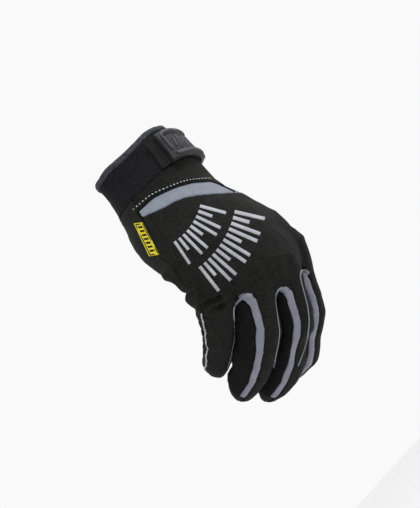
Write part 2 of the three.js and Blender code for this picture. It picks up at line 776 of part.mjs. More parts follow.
const handShell = outerHand.subtract(innerHand);
const cuffCut = toSolid(
  slab(
    3,
    CUFF_SIDES,
    (i, j, height) => handPoint([-0.3, 0.5, 1 + gapShare][i], RING_ANGLES[j], height),
    CUT_BELOW,
    CUT_ABOVE,
    true,
  ),
);
const wristAngles = [-76, ...PANEL_ANGLES, 76];
const wristEnd = (angle) => bandEnd(angle) + gapShare;
const wristCut = toSolid(panelBetween(() => 0.9, wristEnd, wristAngles, 7, CUT_BELOW, CUT_ABOVE));
const gloveShell = handShell.subtract(cuffCut);
const gapsCut = union(
  GAPS.map((gap) => gapRegion(gap, -SEAM_GAP, -SEAM_GAP, -3 * SEAM_GAP, 2 * SEAM_GAP, true)),
);
const backSolid = gloveShell
  .intersect(backRegion(-SEAM_GAP / 2))
  .subtract(gapsCut)
  .subtract(wristCut);
const palmSolid = gloveShell
  .subtract(backRegion(SEAM_GAP / 2))
  .subtract(backSolid)
  .subtract(gapsCut)
  .subtract(thumbHole);

function fourchette(gap) {
  const line = TRIM_LINE + STRIP_GAP;
  const wide = TRIM_WIDTH + STRIP_GAP;
  return gloveShell.intersect(gapRegion(gap, line, wide, wide + STRIP_GAP, 0, false));
}

function trim(gap) {
  const inside = gapRegion(gap, TRIM_LINE, TRIM_WIDTH, TRIM_WIDTH, TRIM_WIDTH, true);
  return gloveShell.intersect(gapRegion(gap, 0, 0, 0, 0, false)).subtract(inside);
}

// The thumb stands off the hand by a seam's gap
const handGrown = toSolid(loft(handRings(SEAM_GAP, SEAM_GAP), true));
const thumbSolid = thumbShell.subtract(handGrown);

// The cuff, its bound edge and the strap
const bindingShare = BINDING_HEIGHT / CUFF_HEIGHT;
const cuffGap = SEAM_GAP / CUFF_HEIGHT;

function ringBetween(from, to, rows, low, high) {
  const at = (i, j, height) => handPoint(from + ((to - from) * i) / (rows - 1), RING_ANGLES[j], height);
  return slab(rows, CUFF_SIDES, at, low, high, true);
}

// A patch of the cuff's girdle, in stations along the cuff and angles around it
function girdle(from, to, start, end, cols, low, high) {
  const rows = 5;
  const at = (i, j, height) => {
    const angle = start + ((end - start) * j) / (cols - 1);
    return handPoint(from + ((to - from) * i) / (rows - 1), angle, height);
  };
  return slab(rows, cols, at, low, high);
}

const girth = (CUFF_WIDTH + CUFF_DEPTH) / 4;
const degreesOf = (distance) => (distance / girth) * DEGREES;
const strapStart = bindingShare + (CUFF_HEIGHT - BINDING_HEIGHT - STRAP_WIDTH) / (STRAP_SHIFT * CUFF_HEIGHT);
const strapEnd = strapStart + STRAP_WIDTH / CUFF_HEIGHT;
const tabTo = TAB_FROM + degreesOf(TAB_LENGTH);
const tabLow = LOOP_THICKNESS + 2 * SEAM_GAP;

// The pull tab: a flat plate with a raised rim around it
function tabSolid() {
  const high = tabLow + TAB_THICKNESS + TAB_RIM_HEIGHT;
  const plateWithin = (inset, low, top) => {
    const share = inset / CUFF_HEIGHT;
    const turn = degreesOf(inset);
    const end = strapEnd - share;
    return toSolid(girdle(strapStart + share, end, TAB_FROM + turn, tabTo - turn, 12, low, top));
  };
  const plate = plateWithin(0, tabLow, tabLow + TAB_THICKNESS);
  const middle = plateWithin(TAB_RIM, tabLow - 1, high + 1);
  return plate.add(plateWithin(0, tabLow, high).subtract(middle));
}

// The tag in the outer side seam
function tagGeometry() {
  const rows = 6;
  const turn = (TAG_WIDTH / (PALM_WIDTH / 2)) * DEGREES;
  const at = (i, j, height) => {
    const station = TAG_START + ((TAG_LENGTH / HAND_LENGTH) * i) / (rows - 1);
    const angle = seamLine(station).outer - TAG_BESIDE_SEAM - turn * (1 - j / 2);
    return handPoint(station, angle, height);
  };
  return slab(rows, 3, at, SEAM_GAP, SEAM_GAP + TAG_THICKNESS);
}

// The piping over the little finger's side seam
function pipingGeometry() {
  const finger = fingers.little;
  const sides = 8;
  const radius = PIPING_DIAMETER / 2;
  const height = radius + SEAM_GAP;
  const stations = steps(PIPING_START, finger.length * PIPING_END, 16);
  const centre = (s) => fingerPoint(finger, s, -FINGER_EDGES.little.outer, height);
  const rings = stations.map((s) => {
    const middle = centre(s);
    const forward = centre(s + 0.5).sub(centre(s - 0.5)).normalize();
    const out = middle.clone().sub(fingerPoint(finger, s, -FINGER_EDGES.little.outer, 0)).normalize();
    const side = forward.clone().cross(out).normalize();
    return Array.from({ length: sides }, (_, k) => {
      const angle = (k * 2 * Math.PI) / sides;
      const point = middle.clone().addScaledVector(out, radius * Math.cos(angle));
      return point.addScaledVector(side, radius * Math.sin(angle));
    });
  });
  return loft(rings);
}

// Materials
function cloth(color, roughness) {
  return new THREE.MeshStandardMaterial({ color, roughness, metalness: 0 });
}

const group = new THREE.Group();

function addPiece(name, geometry, material) {
  const mesh = new THREE.Mesh(geometry, material);
  mesh.name = name;
  group.add(mesh);
}

addPiece("cuff", ringBetween(bindingShare + cuffGap, 1, 6, -WALL, 0), cloth("#141518", 0.85));
addPiece(
  "cuff_binding",
  ringBetween(0, bindingShare, 2, -WALL - BINDING_RAISE, BINDING_RAISE),
  cloth("#4b4e54", 0.8),
);
addPiece(
  "wrist_panel",
  panelBetween(() => 1 + gapShare, (angle) => bandStart(angle) - gapShare, PANEL_ANGLES, 4, -WALL, 0),
  cloth("#191a1d", 0.85),
);
addPiece("wrist_band", panelBetween(bandStart, bandEnd, PANEL_ANGLES, 4, -WALL, 0), cloth("#8b9099", 0.75));
addPiece("back_panel", toGeometry(backSolid), cloth("#1c1d20", 0.85));
addPiece("palm_panel", toGeometry(palmSolid), cloth("#25261f", 0.75));
addPiece("thumb", toGeometry(thumbSolid), cloth("#202120", 0.8));
for (const gap of GAPS) {
  const label = `${gap.outer}_${gap.thumb}`;
  addPiece(`fourchette_${label}`, toGeometry(fourchette(gap)), cloth("#131416", 0.9));
  addPiece(`trim_${label}`, toGeometry(trim(gap)), cloth("#81858e", 0.7));
}
addPiece("side_piping", pipingGeometry(), cloth("#9a9ea4", 0.7));
addPiece("side_tag", tagGeometry(), cloth("#d8c22c", 0.7));
addPiece(
  "loop_patch",
  girdle(
    strapStart + LOOP_INSET,
    strapEnd - LOOP_INSET,
    TAB_FROM - LOOP_BEFORE_TAB,
    tabTo - LOOP_SHORT_OF_TAB,
    10,
    SEAM_GAP,
    SEAM_GAP + LOOP_THICKNESS,
  ),
  cloth("#1a1a1c", 1),
);
addPiece(
  "strap",
  girdle(
    strapStart,
    strapEnd,
    tabTo + degreesOf(SEAM_GAP),
    STRAP_TO,
    14,
    SEAM_GAP,
    SEAM_GAP + STRAP_THICKNESS,
  ),
  cloth("#17181a", 0.85),
);
addPiece("strap_tab", toGeometry(tabSolid()), cloth("#1b1c1f", 0.55));

export default group;
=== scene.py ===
# A right-hand work glove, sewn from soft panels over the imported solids

from math import cos, pi, sin

import bpy
import numpy as np
from mathutils import Matrix, Vector
from mathutils.bvhtree import BVHTree


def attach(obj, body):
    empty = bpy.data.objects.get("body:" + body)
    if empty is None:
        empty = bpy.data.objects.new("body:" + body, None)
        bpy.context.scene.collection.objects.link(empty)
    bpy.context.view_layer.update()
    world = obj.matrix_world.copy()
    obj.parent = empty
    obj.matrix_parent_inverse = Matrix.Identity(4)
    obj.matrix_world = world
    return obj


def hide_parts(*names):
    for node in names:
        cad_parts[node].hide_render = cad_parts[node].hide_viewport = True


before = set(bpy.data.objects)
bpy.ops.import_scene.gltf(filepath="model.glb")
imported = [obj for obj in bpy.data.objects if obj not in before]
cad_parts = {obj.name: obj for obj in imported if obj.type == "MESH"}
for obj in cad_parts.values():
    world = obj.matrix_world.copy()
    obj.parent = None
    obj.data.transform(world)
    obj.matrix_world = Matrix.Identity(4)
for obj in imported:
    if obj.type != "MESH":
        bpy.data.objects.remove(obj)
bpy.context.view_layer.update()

MM = 0.001

# The photograph's frame, in pixels, and where the view's axis passes through it
IMAGE_WIDTH = 420
IMAGE_HEIGHT = 508
AXIS_COLUMN = 242.06
AXIS_ROW = 253.97
PIXELS_PER_MM = 1.693

# The camera looks at the middle of the hand from its back, from the little finger's side and
# from a little below
LOOK_AT = Vector((0, -1.5, -90)) * MM
CAMERA_DISTANCE = 0.8
TOWARD_CAMERA = Vector((-0.7951, -0.5804, -0.1759)).normalized()
CAMERA_RIGHT = Vector((0.4989, -0.461, -0.7339)).normalized()
CAMERA_UP = TOWARD_CAMERA.cross(CAMERA_RIGHT).normalized()
SENSOR = 36.0
CLIP_START = 0.01
CLIP_END = 50


def place_camera():
    data = bpy.data.cameras.new("camera")
    data.sensor_width = SENSOR
    data.lens = PIXELS_PER_MM / MM * CAMERA_DISTANCE * SENSOR / IMAGE_HEIGHT
    data.shift_x = (IMAGE_WIDTH / 2 - AXIS_COLUMN) / IMAGE_HEIGHT
    data.clip_start = CLIP_START
    data.clip_end = CLIP_END
    camera = bpy.data.objects.new("camera", data)
    bpy.context.scene.collection.objects.link(camera)
    turn = Matrix((CAMERA_RIGHT, CAMERA_UP, TOWARD_CAMERA)).transposed()
    place = Matrix.Translation(LOOK_AT + TOWARD_CAMERA * CAMERA_DISTANCE)
    camera.matrix_world = place @ turn.to_4x4()
    bpy.context.scene.camera = camera


# Disc lamps, placed in metres from the point that the camera looks at
LAMPS = [
    {"name": "key", "offset": (-0.3, -0.8, 1.0), "size": 0.5, "power": 9},
    {"name": "rim", "offset": (0.9, -0.7, 0.6), "size": 0.5, "power": 6},
]


def add_lamp(row):
    data = bpy.data.lights.new(row["name"], "AREA")
    data.shape = "DISK"
    data.size = row["size"]
    data.energy = row["power"]
    lamp = bpy.data.objects.new(row["name"], data)
    bpy.context.scene.collection.objects.link(lamp)
    offset = Vector(row["offset"])
    lamp.location = LOOK_AT + offset
    lamp.rotation_mode = "QUATERNION"
    lamp.rotation_quaternion = (-offset).to_track_quat("-Z", "Y")


# Shader maths on sockets that vary over the surface
class Value:
    def __init__(self, finish, socket):
        self.finish = finish
        self.socket = socket

    def maths(self, operation, first, second=None):
        sockets = {0: first} if second is None else {0: first, 1: second}
        return self.finish.make("ShaderNodeMath", {"operation": operation}, sockets)

    def __add__(self, other):
        return self.maths("ADD", self, other)

    def __rsub__(self, other):
        return self.maths("SUBTRACT", other, self)

    def __mul__(self, other):
        return self.maths("MULTIPLY", self, other)

    __radd__ = __add__
    __rmul__ = __mul__


CLOTH_GLOSS = 0.07
RUBBER_GLOSS = 0.2
KNIT_SHEEN = 0.01
SHEEN_ROUGHNESS = 0.5
# A wave texture's bands repeat after this length where its scale is one
WAVE_LENGTH = 0.314


class Finish:
    """One surface finish, made of procedural nodes."""

    def __init__(self, name, roughness, sheen=0.0, gloss=CLOTH_GLOSS):
        self.material = bpy.data.materials.new(name)
        self.material.use_nodes = True
        self.tree = self.material.node_tree
        self.surface = self.tree.nodes["Principled BSDF"]
        self.surface.inputs["Roughness"].default_value = roughness
        self.surface.inputs["Specular IOR Level"].default_value = gloss
        self.surface.inputs["Sheen Weight"].default_value = sheen
        self.surface.inputs["Sheen Roughness"].default_value = SHEEN_ROUGHNESS
        place = self.tree.nodes.new("ShaderNodeTexCoord")
        self.place = Value(self, place.outputs["Object"])

    def make(self, kind, settings, sockets, output=0):
        node = self.tree.nodes.new(kind)
        for name, setting in settings.items():
            if name == "stops":
                self.set_stops(node, setting)
            else:
                setattr(node, name, setting)
        for name, value in sockets.items():
            if isinstance(value, Value):
                self.tree.links.new(value.socket, node.inputs[name])
            else:
                node.inputs[name].default_value = value
        return Value(self, node.outputs[output])

    def set_stops(self, node, stops):
        ramp = node.color_ramp
        while len(ramp.elements) < len(stops):
            ramp.elements.new(0.5)
        for element, (position, color) in zip(ramp.elements, stops):
            element.position = position
            element.color = (*color, 1.0)

    def feed(self, name, value):
        self.tree.links.new(value.socket, self.surface.inputs[name])

    def noise(self, size, detail=3.0, roughness=0.5):
        sockets = {"Vector": self.place, "Scale": 1 / size, "Detail": detail, "Roughness": roughness}
        return self.make("ShaderNodeTexNoise", {}, sockets)

    def cells(self, size):
        return self.make("ShaderNodeTexVoronoi", {}, {"Vector": self.place, "Scale": 1 / size})

    def bands(self, size, direction, distortion):
        settings = {"wave_type": "BANDS", "bands_direction": direction}
        sockets = {"Vector": self.place, "Scale": WAVE_LENGTH / size, "Distortion": distortion,
                   "Detail": 0.0}
        return self.make("ShaderNodeTexWave", settings, sockets, 1)

    def shades(self, value, stops):
        return self.make("ShaderNodeValToRGB", {"stops": stops}, {0: value})

    def relief(self, height, depth):
        sockets = {"Strength": 1.0, "Distance": depth, "Height": height}
        self.feed("Normal", self.make("ShaderNodeBump", {}, sockets))


def scaled(color, factor):
    return tuple(min(channel * factor, 1.0) for channel in color)


def knit(name, color, stitch, depth, roughness=0.85, mottle=0.6):
    """A knitted cloth with rows of small loops."""
    finish = Finish(name, roughness, KNIT_SHEEN)
    loops = finish.cells(stitch)
    rows = finish.bands(stitch, "Z", 1.5)
    worn = finish.noise(6 * MM, 6.0, 0.75)
    tone = worn * 0.35 + finish.noise(1.5 * MM, 3.0, 0.7) * 0.45 + loops * 0.2
    finish.feed("Base Color", finish.shades(tone, [
        (0.34, scaled(color, 1 - mottle)),
        (0.6, scaled(color, 1 + mottle)),
    ]))
    finish.feed("Roughness", worn * 0.16 + (roughness - 0.08))
    finish.relief(rows * 0.5 + (1 - loops) * 0.6 + finish.noise(2.2 * MM) * 0.35, depth)
    return finish.material


def suede(name, color):
    """A brushed palm cloth with a short, uneven nap."""
    finish = Finish(name, 0.9, 0.03)
    nap = finish.noise(1.1 * MM, 6.0, 0.7)
    rubbed = finish.noise(16 * MM, 4.0, 0.6)
    tone = rubbed * 0.65 + nap * 0.35
    finish.feed("Base Color", finish.shades(tone, [
        (0.3, scaled(color, 0.62)),
        (0.52, color),
        (0.75, scaled(color, 1.6)),
    ]))
    finish.feed("Roughness", rubbed * 0.2 + 0.78)
    finish.relief(nap + finish.cells(0.9 * MM) * 0.4, 0.22 * MM)
    return finish.material


def moulded(name, color, roughness, grain=0.7 * MM):
    """A satin rubber with a fine grain and a few scuffs."""
    finish = Finish(name, roughness, gloss=RUBBER_GLOSS)
    grains = finish.noise(grain, 3.0, 0.6)
    scuffs = finish.noise(9 * MM, 5.0, 0.7)
    finish.feed("Base Color", finish.shades(scuffs, [
        (0.3, scaled(color, 0.85)),
        (0.7, scaled(color, 1.2)),
    ]))
    finish.feed("Roughness", scuffs * 0.25 + (roughness - 0.12))
    finish.relief(grains, 0.08 * MM)
    return finish.material


def pile(name, color):
    """The fuzzy loops that the strap's hooks catch on."""
    finish = Finish(name, 1.0, 0.08)
    tufts = finish.noise(0.8 * MM, 6.0, 0.8)
    finish.feed("Base Color", finish.shades(tufts, [
        (0.35, scaled(color, 0.5)),
        (0.7, scaled(color, 2.4)),
    ]))
    finish.relief(tufts, 0.6 * MM)
    return finish.material


# Each finish with its colour, and then the size and depth of its stitches, its roughness and how
# mottled it is, or for rubber its roughness and the size of its grain
FINISHES = {
    "back_fabric": knit("back_fabric", (0.0078, 0.0077, 0.0074), 0.95 * MM, 0.2 * MM),
    "palm_suede": suede("palm_suede", (0.0122, 0.0121, 0.0108)),
    "cuff_fabric": knit("cuff_fabric", (0.0056, 0.0056, 0.0066), 0.7 * MM, 0.12 * MM, 0.75),
    "binding_tape": knit("binding_tape", (0.034, 0.035, 0.04), 0.8 * MM, 0.2 * MM, 0.8),
    "band_fabric": knit("band_fabric", (0.168, 0.187, 0.22), 0.9 * MM, 0.1 * MM, 0.75, 0.12),
    "side_fabric": knit("side_fabric", (0.0046, 0.0046, 0.0052), 0.8 * MM, 0.12 * MM, 0.9),
    "trim_rubber": moulded("trim_rubber", (0.16, 0.165, 0.2), 0.65),
    "piping_cord": knit("piping_cord", (0.3, 0.31, 0.33), 0.6 * MM, 0.2 * MM, 0.8),
    "tag_tape": knit("tag_tape", (0.5, 0.43, 0.035), 0.6 * MM, 0.15 * MM, 0.8, 0.15),
    "loop_pile": pile("loop_pile", (0.0065, 0.0065, 0.007)),
    "strap_webbing": knit("strap_webbing", (0.007, 0.007, 0.008), 1.2 * MM, 0.3 * MM, 0.85),
    "tab_rubber": moulded("tab_rubber", (0.011, 0.0112, 0.013), 0.55),
    "tab_edge": moulded("tab_edge", (0.045, 0.045, 0.053), 0.5),
    "thread_grey": knit("thread_grey", (0.36, 0.37, 0.39), 0.4 * MM, 0.1 * MM, 0.7),
    "thread_black": knit("thread_black", (0.0022, 0.0022, 0.0026), 0.5 * MM, 0.1 * MM, 0.9),
    "print_grey": moulded("print_grey", (0.3, 0.3, 0.33), 0.75, 1.0 * MM),
}


def new_object(name, points, faces):
    mesh = bpy.data.meshes.new(name)
    mesh.from_pydata([tuple(p) for p in points], [], [tuple(f) for f in faces])
    mesh.validate()
    mesh.update()
    piece = bpy.data.objects.new(name, mesh)
    bpy.context.scene.collection.objects.link(piece)
    return piece


def dress(piece, slot, finish, *nodes):
    """Gives a piece its finish, its body and the solids that it stands for."""
    piece.data.materials.clear()
    piece.data.materials.append(FINISHES[finish])
    piece.data.shade_smooth()
    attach(piece, "root")
    if nodes:
        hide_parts(*nodes)
    return piece


def points_of(mesh):
    points = np.empty(len(mesh.vertices) * 3)
    mesh.vertices.foreach_get("co", points)
    return points.reshape(-1, 3)


def normals_of(mesh):
    normals = np.empty(len(mesh.vertices) * 3)
    mesh.vertex_normals.foreach_get("vector", normals)
    return normals.reshape(-1, 3)


def put_points(mesh, points):
    mesh.vertices.foreach_set("co", points.ravel())
    mesh.update()


def edges_of(mesh):
    edges = np.empty(len(mesh.edges) * 2, int)
    mesh.edges.foreach_get("vertices", edges)
    return edges.reshape(-1, 2)


PULL_IN = 0.55
PUSH_OUT = -0.57


def relaxed(points, edges, rounds):
    """Evens out a mesh without shrinking it: each round pulls in, then pushes out."""
    ends = np.concatenate([edges, edges[:, ::-1]])
    size = len(points)
    count = np.bincount(ends[:, 0], minlength=size)[:, None]
    for _ in range(rounds):
        for strength in (PULL_IN, PUSH_OUT):
            sums = [np.bincount(ends[:, 0], points[ends[:, 1], k], size) for k in range(3)]
            middles = np.stack(sums, axis=1) / np.maximum(count, 1)
            points = points + strength * (middles - points)
    return points


# Soft forms of the cloth: centre, reach and push in millimetres
SOFT_FORMS = [
    {"centre": (-37, 13, -88), "reach": 8.5, "push": (-6.1, 6.0, 1.4)},
    {"centre": (-47, 4, -82), "reach": 7.5, "push": (-2.4, 4.4, -4.2)},
    {"centre": (-36, 24, -97), "reach": 6.0, "push": (-1.4, 1.0, 1.0)},
    {"centre": (31, -17, -92), "reach": 13, "push": (2.0, -2.4, -0.4)},
    {"centre": (26, -24, -88), "reach": 15, "push": (-1.7, 3.6, -3.3)},
    {"centre": (-26.5, -3.5, -109), "reach": 6, "push": (-1.1, 2.1, -2.1)},
    {"centre": (-4.6, -10.6, -122), "reach": 5.5, "push": (-1.0, 2.0, -2.0)},
    {"centre": (33, -4, -38), "reach": 12, "push": (1.2, -1.2, 0.0)},
    {"centre": (3, 17, -154), "reach": 10, "push": (-0.2, 1.5, 3.6)},
    {"centre": (24, 39, -157), "reach": 12, "push": (0.4, -0.9, -2.6)},
    {"centre": (-22, -17, 0), "reach": 16, "push": (0.6, 0.6, -2.6)},
]
# A gentle unevenness all over the cloth: its greatest depth and the lengths of its waves
RIPPLE_DEPTH = 0.32
RIPPLE_LENGTHS = (34, 21, 13, 8.5)
RIPPLE_SEED = 7

# The little and the ring finger lie close together: a place between them, the way from the
# little finger to the ring finger, and how far the two come together there
CLOSE_FINGERS = [
    {"place": (-25.6, 1.4, -101.8), "way": (16.4, -10.4, -11.6), "closing": 0.6},
    {"place": (-24.7, 13.0, -109.2), "way": (13.2, -12.5, -14.8), "closing": 4.2},
    {"place": (-20.4, 34.9, -121.3), "way": (6.6, -14.6, -19.8), "closing": 7.0},
    {"place": (-15.1, 57.8, -126.3), "way": (-0.3, -13.7, -22.0), "closing": 8.0},
    {"place": (-12.4, 67.0, -127.6), "way": (-3.2, -12.9, -21.3), "closing": 5.0},
]
# How far on both sides of that place the walls move, how far around it, and how near they come
CLOSING_REACH = 7.0
CLOSING_WIDTH = 15
CLOSEST = 0.3

# Furrows at the little finger's base: their lines, depth, half width and way, in millimetres
FURROWS = [
    {"line": [(-40, 17, -94), (-41.2, 14.2, -95.9), (-42, 7.6, -99.4), (-40, 2.9, -102.1)],
     "depth": 2.6, "width": 1.4, "inward": (0.85, 0.1, 0.5)},
    {"line": [(-40, 16.4, -97.9), (-40.5, 9.5, -103.5), (-38.5, 6, -106)],
     "depth": 2.0, "width": 1.3, "inward": (0.85, 0.1, 0.5)},
]
# A raised lip runs along both sides of a furrow: its height and its distance, as shares of the
# furrow's depth and half width
LIP_HEIGHT = 0.4
LIP_DISTANCE = 2.4


def nearest_on(line, at):
    """The distance from each place to a bent line, and how far along the line it lies."""
    line = np.array(line, float)
    best = np.full(len(at), np.inf)
    along = np.zeros(len(at))
    passed = 0.0
    for a, b in zip(line, line[1:]):
        length = np.linalg.norm(b - a)
        share = np.clip((at - a) @ (b - a) / length**2, 0, 1)
        far = np.linalg.norm(at - a - share[:, None] * (b - a), axis=1)
        along = np.where(far < best, passed + share * length, along)
        best = np.minimum(best, far)
        passed += length
    return best, along


def cumulated(line):
    """The length of a bent line up to each of its points."""
    steps = np.linalg.norm(np.diff(line, axis=0), axis=1)
    return np.concatenate([[0], np.cumsum(steps)])


def read_off(line, values, along):
    """Values known at the points of a bent line, at some lengths along it."""
    stations = cumulated(np.array(line, float))
    columns = np.array(values, float).T
    return np.stack([np.interp(along, stations, column) for column in columns], axis=1)


# The palm's cloth puckers along the little finger's seam: the seam's line, and the puckers'
# length, height, reach, unevenness and way
PUCKER_LINE = [(-38.5, 21.5, -100), (-35.5, 30, -105.5), (-32, 41, -110), (-27.5, 52, -113)]
PUCKER_LENGTH = 7.0
PUCKER_HEIGHT = 1.6
PUCKER_REACH = 4.5
PUCKER_UNEVENNESS = 0.35
PUCKER_WAY = (-0.6, 0.5, 0.6)


def puckered(at):
    far, along = nearest_on(PUCKER_LINE, at)
    turn = 2 * pi * along / PUCKER_LENGTH + PUCKER_UNEVENNESS * np.sin(along)
    rise = PUCKER_HEIGHT * (0.5 + 0.5 * np.sin(turn))
    return at + (rise * np.exp(-((far / PUCKER_REACH) ** 2)))[:, None] * np.array(PUCKER_WAY)


def closed_up(at):
    """Brings the facing walls of the little and the ring finger together."""
    line = [row["place"] for row in CLOSE_FINGERS]
    _, along = nearest_on(line, at)
    ways = np.array([row["way"] for row in CLOSE_FINGERS], float)
    ways /= np.linalg.norm(ways, axis=1)[:, None]
    middle = read_off(line, line, along)
    way = read_off(line, ways, along)
    way /= np.linalg.norm(way, axis=1)[:, None]
    closing = read_off(line, [(row["closing"],) for row in CLOSE_FINGERS], along)[:, 0]
    side = np.sum((at - middle) * way, axis=1)
    aside = np.linalg.norm(at - middle - side[:, None] * way, axis=1)
    pull = closing * np.exp(-((side / CLOSING_REACH) ** 2)) * np.exp(-((aside / CLOSING_WIDTH) ** 4))
    kept = np.maximum(np.abs(side) - pull, np.minimum(np.abs(side), CLOSEST))
    return at + ((np.sign(side) * kept - side)[:, None] * way)


def draped(points):
    """Moves the cloth by its soft forms, its furrows and a gentle unevenness."""
    at = closed_up(points / MM)
    shift = np.zeros_like(at)
    for form in SOFT_FORMS:
        far = np.linalg.norm(at - np.array(form["centre"]), axis=1)
        shift += np.exp(-((far / form["reach"]) ** 2))[:, None] * np.array(form["push"])
    dice = np.random.default_rng(RIPPLE_SEED)
    for length in RIPPLE_LENGTHS:
        for axis in range(3):
            way = dice.normal(size=3)
            way *= 2 * pi / length / np.linalg.norm(way)
            depth = RIPPLE_DEPTH * (length / RIPPLE_LENGTHS[0])
            shift[:, axis] += depth * np.sin(at @ way + dice.uniform(0, 2 * pi))
    at = at + shift
    for furrow in FURROWS:
        far, _ = nearest_on(furrow["line"], at)
        width = furrow["width"]
        dip = np.exp(-((far / width) ** 2))
        lip = LIP_HEIGHT * np.exp(-(((far - LIP_DISTANCE * width) / width) ** 2))
        at = at + (furrow["depth"] * (dip - lip))[:, None] * np.array(furrow["inward"])
    return puckered(at) * MM


def softened(node, voxel, rounds, grown=0.0):
    """A fine, rounded and draped copy of a faceted solid, grown by some millimetres."""
    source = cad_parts[node]
    piece = bpy.data.objects.new("fine_" + node, source.data.copy())
    bpy.context.scene.collection.objects.link(piece)
    remesh = piece.modifiers.new("fine", "REMESH")
    remesh.mode = "VOXEL"
    remesh.voxel_size = voxel
    graph = bpy.context.evaluated_depsgraph_get()
    fine = bpy.data.meshes.new_from_object(piece.evaluated_get(graph))
    piece.modifiers.clear()
    piece.data = fine
    points = relaxed(points_of(fine), edges_of(fine), rounds)
    put_points(fine, points)
    points += grown * MM * normals_of(fine)
    put_points(fine, draped(points))
    return piece


# The voxel and the rounds of smoothing of the large panels and of the narrow trims
CLOTH_VOXEL = 0.7 * MM
CLOTH_ROUNDS = 45
TRIM_VOXEL = 0.45 * MM
TRIM_ROUNDS = 8
# The panels meet in their seams when each grows by this distance, in millimetres
SEAM_FILL = 0.2
PANELS = {
    "back_panel": "back_fabric",
    "palm_panel": "palm_suede",
    "thumb": "palm_suede",
    "wrist_panel": "back_fabric",
    "wrist_band": "band_fabric",
    "cuff": "cuff_fabric",
    "cuff_binding": "binding_tape",
    "fourchette_little_ring": "side_fabric",
    "fourchette_ring_middle": "side_fabric",
    "fourchette_middle_index": "side_fabric",
}
TRIMS = ["trim_little_ring", "trim_ring_middle", "trim_middle_index"]

# The pieces whose surfaces later ones are laid on, by the name of their solid
pieces = {}


def sew_panels():
    for node, slot in PANELS.items():
        cloth = softened(node, CLOTH_VOXEL, CLOTH_ROUNDS, grown=SEAM_FILL)
        pieces[node] = dress(cloth, slot, slot, node)
    for node in TRIMS:
        strip = softened(node, TRIM_VOXEL, TRIM_ROUNDS, grown=SEAM_FILL)
        pieces[node] = dress(strip, "trim_rubber", "trim_rubber", node)


# Places on the cloth, found by looking from the camera through a pixel of the photograph
EYE = LOOK_AT + TOWARD_CAMERA * CAMERA_DISTANCE
FOCAL = PIXELS_PER_MM / MM * CAMERA_DISTANCE


def sight(column, row):
    way = CAMERA_RIGHT * (column - AXIS_COLUMN) / FOCAL - CAMERA_UP * (row - AXIS_ROW) / FOCAL
    return (way - TOWARD_CAMERA).normalized()


def nearest_hit(trees, eye, way):
    """The first place on some cloth along a line of sight, with its normal toward the eye."""
    hits = [tree.ray_cast(eye, way) for tree in trees]
    hits = [hit for hit in hits if hit[0] is not None]
    if not hits:
        return None
    point, normal, _, _ = min(hits, key=lambda hit: hit[3])
    return point, -normal if normal.dot(way) > 0 else normal


def trees_of(*names):
    graph = bpy.context.evaluated_depsgraph_get()
    return [BVHTree.FromObject(pieces[name], graph) for name in names]


def surface(*names):
    trees = trees_of(*names)
    return lambda column, row: nearest_hit(trees, EYE, sight(column, row))


# The points that a smooth curve gets between two knots before they are evened
CURVE_STEPS = 24


def smooth_line(knots, spacing):
    """Even points along a smooth curve through chosen knots of two or three numbers."""
    knots = np.array(knots, float)
    padded = np.vstack([2 * knots[0] - knots[1], knots, 2 * knots[-1] - knots[-2]])
    fine = []
    for k in range(1, len(padded) - 2):
        a, b, c, d = padded[k - 1:k + 3]
        for t in np.linspace(0, 1, CURVE_STEPS, endpoint=False):
            bend = (2 * a - 5 * b + 4 * c - d) * t**2
            fine.append(0.5 * (2 * b + (c - a) * t + bend + (3 * b - a - 3 * c + d) * t**3))
    fine = np.array([*fine, knots[-1]])
    length = cumulated(fine[:, :2])
    count = max(int(length[-1] / spacing), 2)
    want = np.linspace(0, length[-1], count)
    return np.stack([np.interp(want, length, column) for column in fine.T], axis=1)


# What lies on the cloth passes over cracks deeper than the first, and follows dents up to the second
CRACK_DEPTH = 3 * MM
DENT_DEPTH = 2 * MM


def evened(values, reach):
    """Follows a row of distances with short straight fits that pass over cracks."""
    values = np.array(values)
    index = np.arange(len(values))
    level = []
    for i in index:
        near = np.abs(index - i) <= reach
        x, y = index[near] - i, values[near]
        keep = np.abs(y - np.median(y)) < CRACK_DEPTH
        level.append(np.polyfit(x[keep], y[keep], 1)[1] if keep.sum() > 2 else np.median(y))
    return np.array(level)


def found(look, pixels, lift, reach=4):
    """Places on the cloth along a row of pixels, with their normals."""
    seen = [(pixel, look(pixel[0], pixel[1])) for pixel in pixels]
    seen = [(pixel, hit) for pixel, hit in seen if hit is not None]
    far = evened([(hit[0] - EYE).length for _, hit in seen], reach)
    normals = [hit[1] for _, hit in seen]
    places = []
    for k, (pixel, _) in enumerate(seen):
        normal = sum(normals[max(k - reach, 0):k + reach + 1], Vector()).normalized()
        places.append((EYE + sight(pixel[0], pixel[1]) * far[k] + normal * lift, normal))
    return places


# A tube's end rings are narrower by this share
END_WIDTH = 0.5


def ring_faces(faces, first, rings, sides):
    """Closes a tube's rings into a skin with flat ends."""
    for k in range(rings - 1):
        for j in range(sides):
            a, b = first + k * sides + j, first + k * sides + (j + 1) % sides
            faces.append((a, b, b + sides, a + sides))
    faces.append(tuple(first + j for j in range(sides))[::-1])
    faces.append(tuple(first + (rings - 1) * sides + j for j in range(sides)))


def tube(name, places, radii, sides=10, flat=1.0):
    """A round or flattened tube through points, each with the normal of the cloth under it."""
    points, faces = [], []
    count = len(places)
    for k, (point, normal) in enumerate(places):
        ahead = places[min(k + 1, count - 1)][0] - places[max(k - 1, 0)][0]
        side = ahead.cross(normal).normalized()
        size = radii[k] * (END_WIDTH if k in (0, count - 1) else 1.0)
        for j in range(sides):
            turn = 2 * pi * j / sides
            points.append(point + side * size * cos(turn) + normal * size * flat * sin(turn))
    ring_faces(faces, 0, count, sides)
    return new_object(name, points, faces)


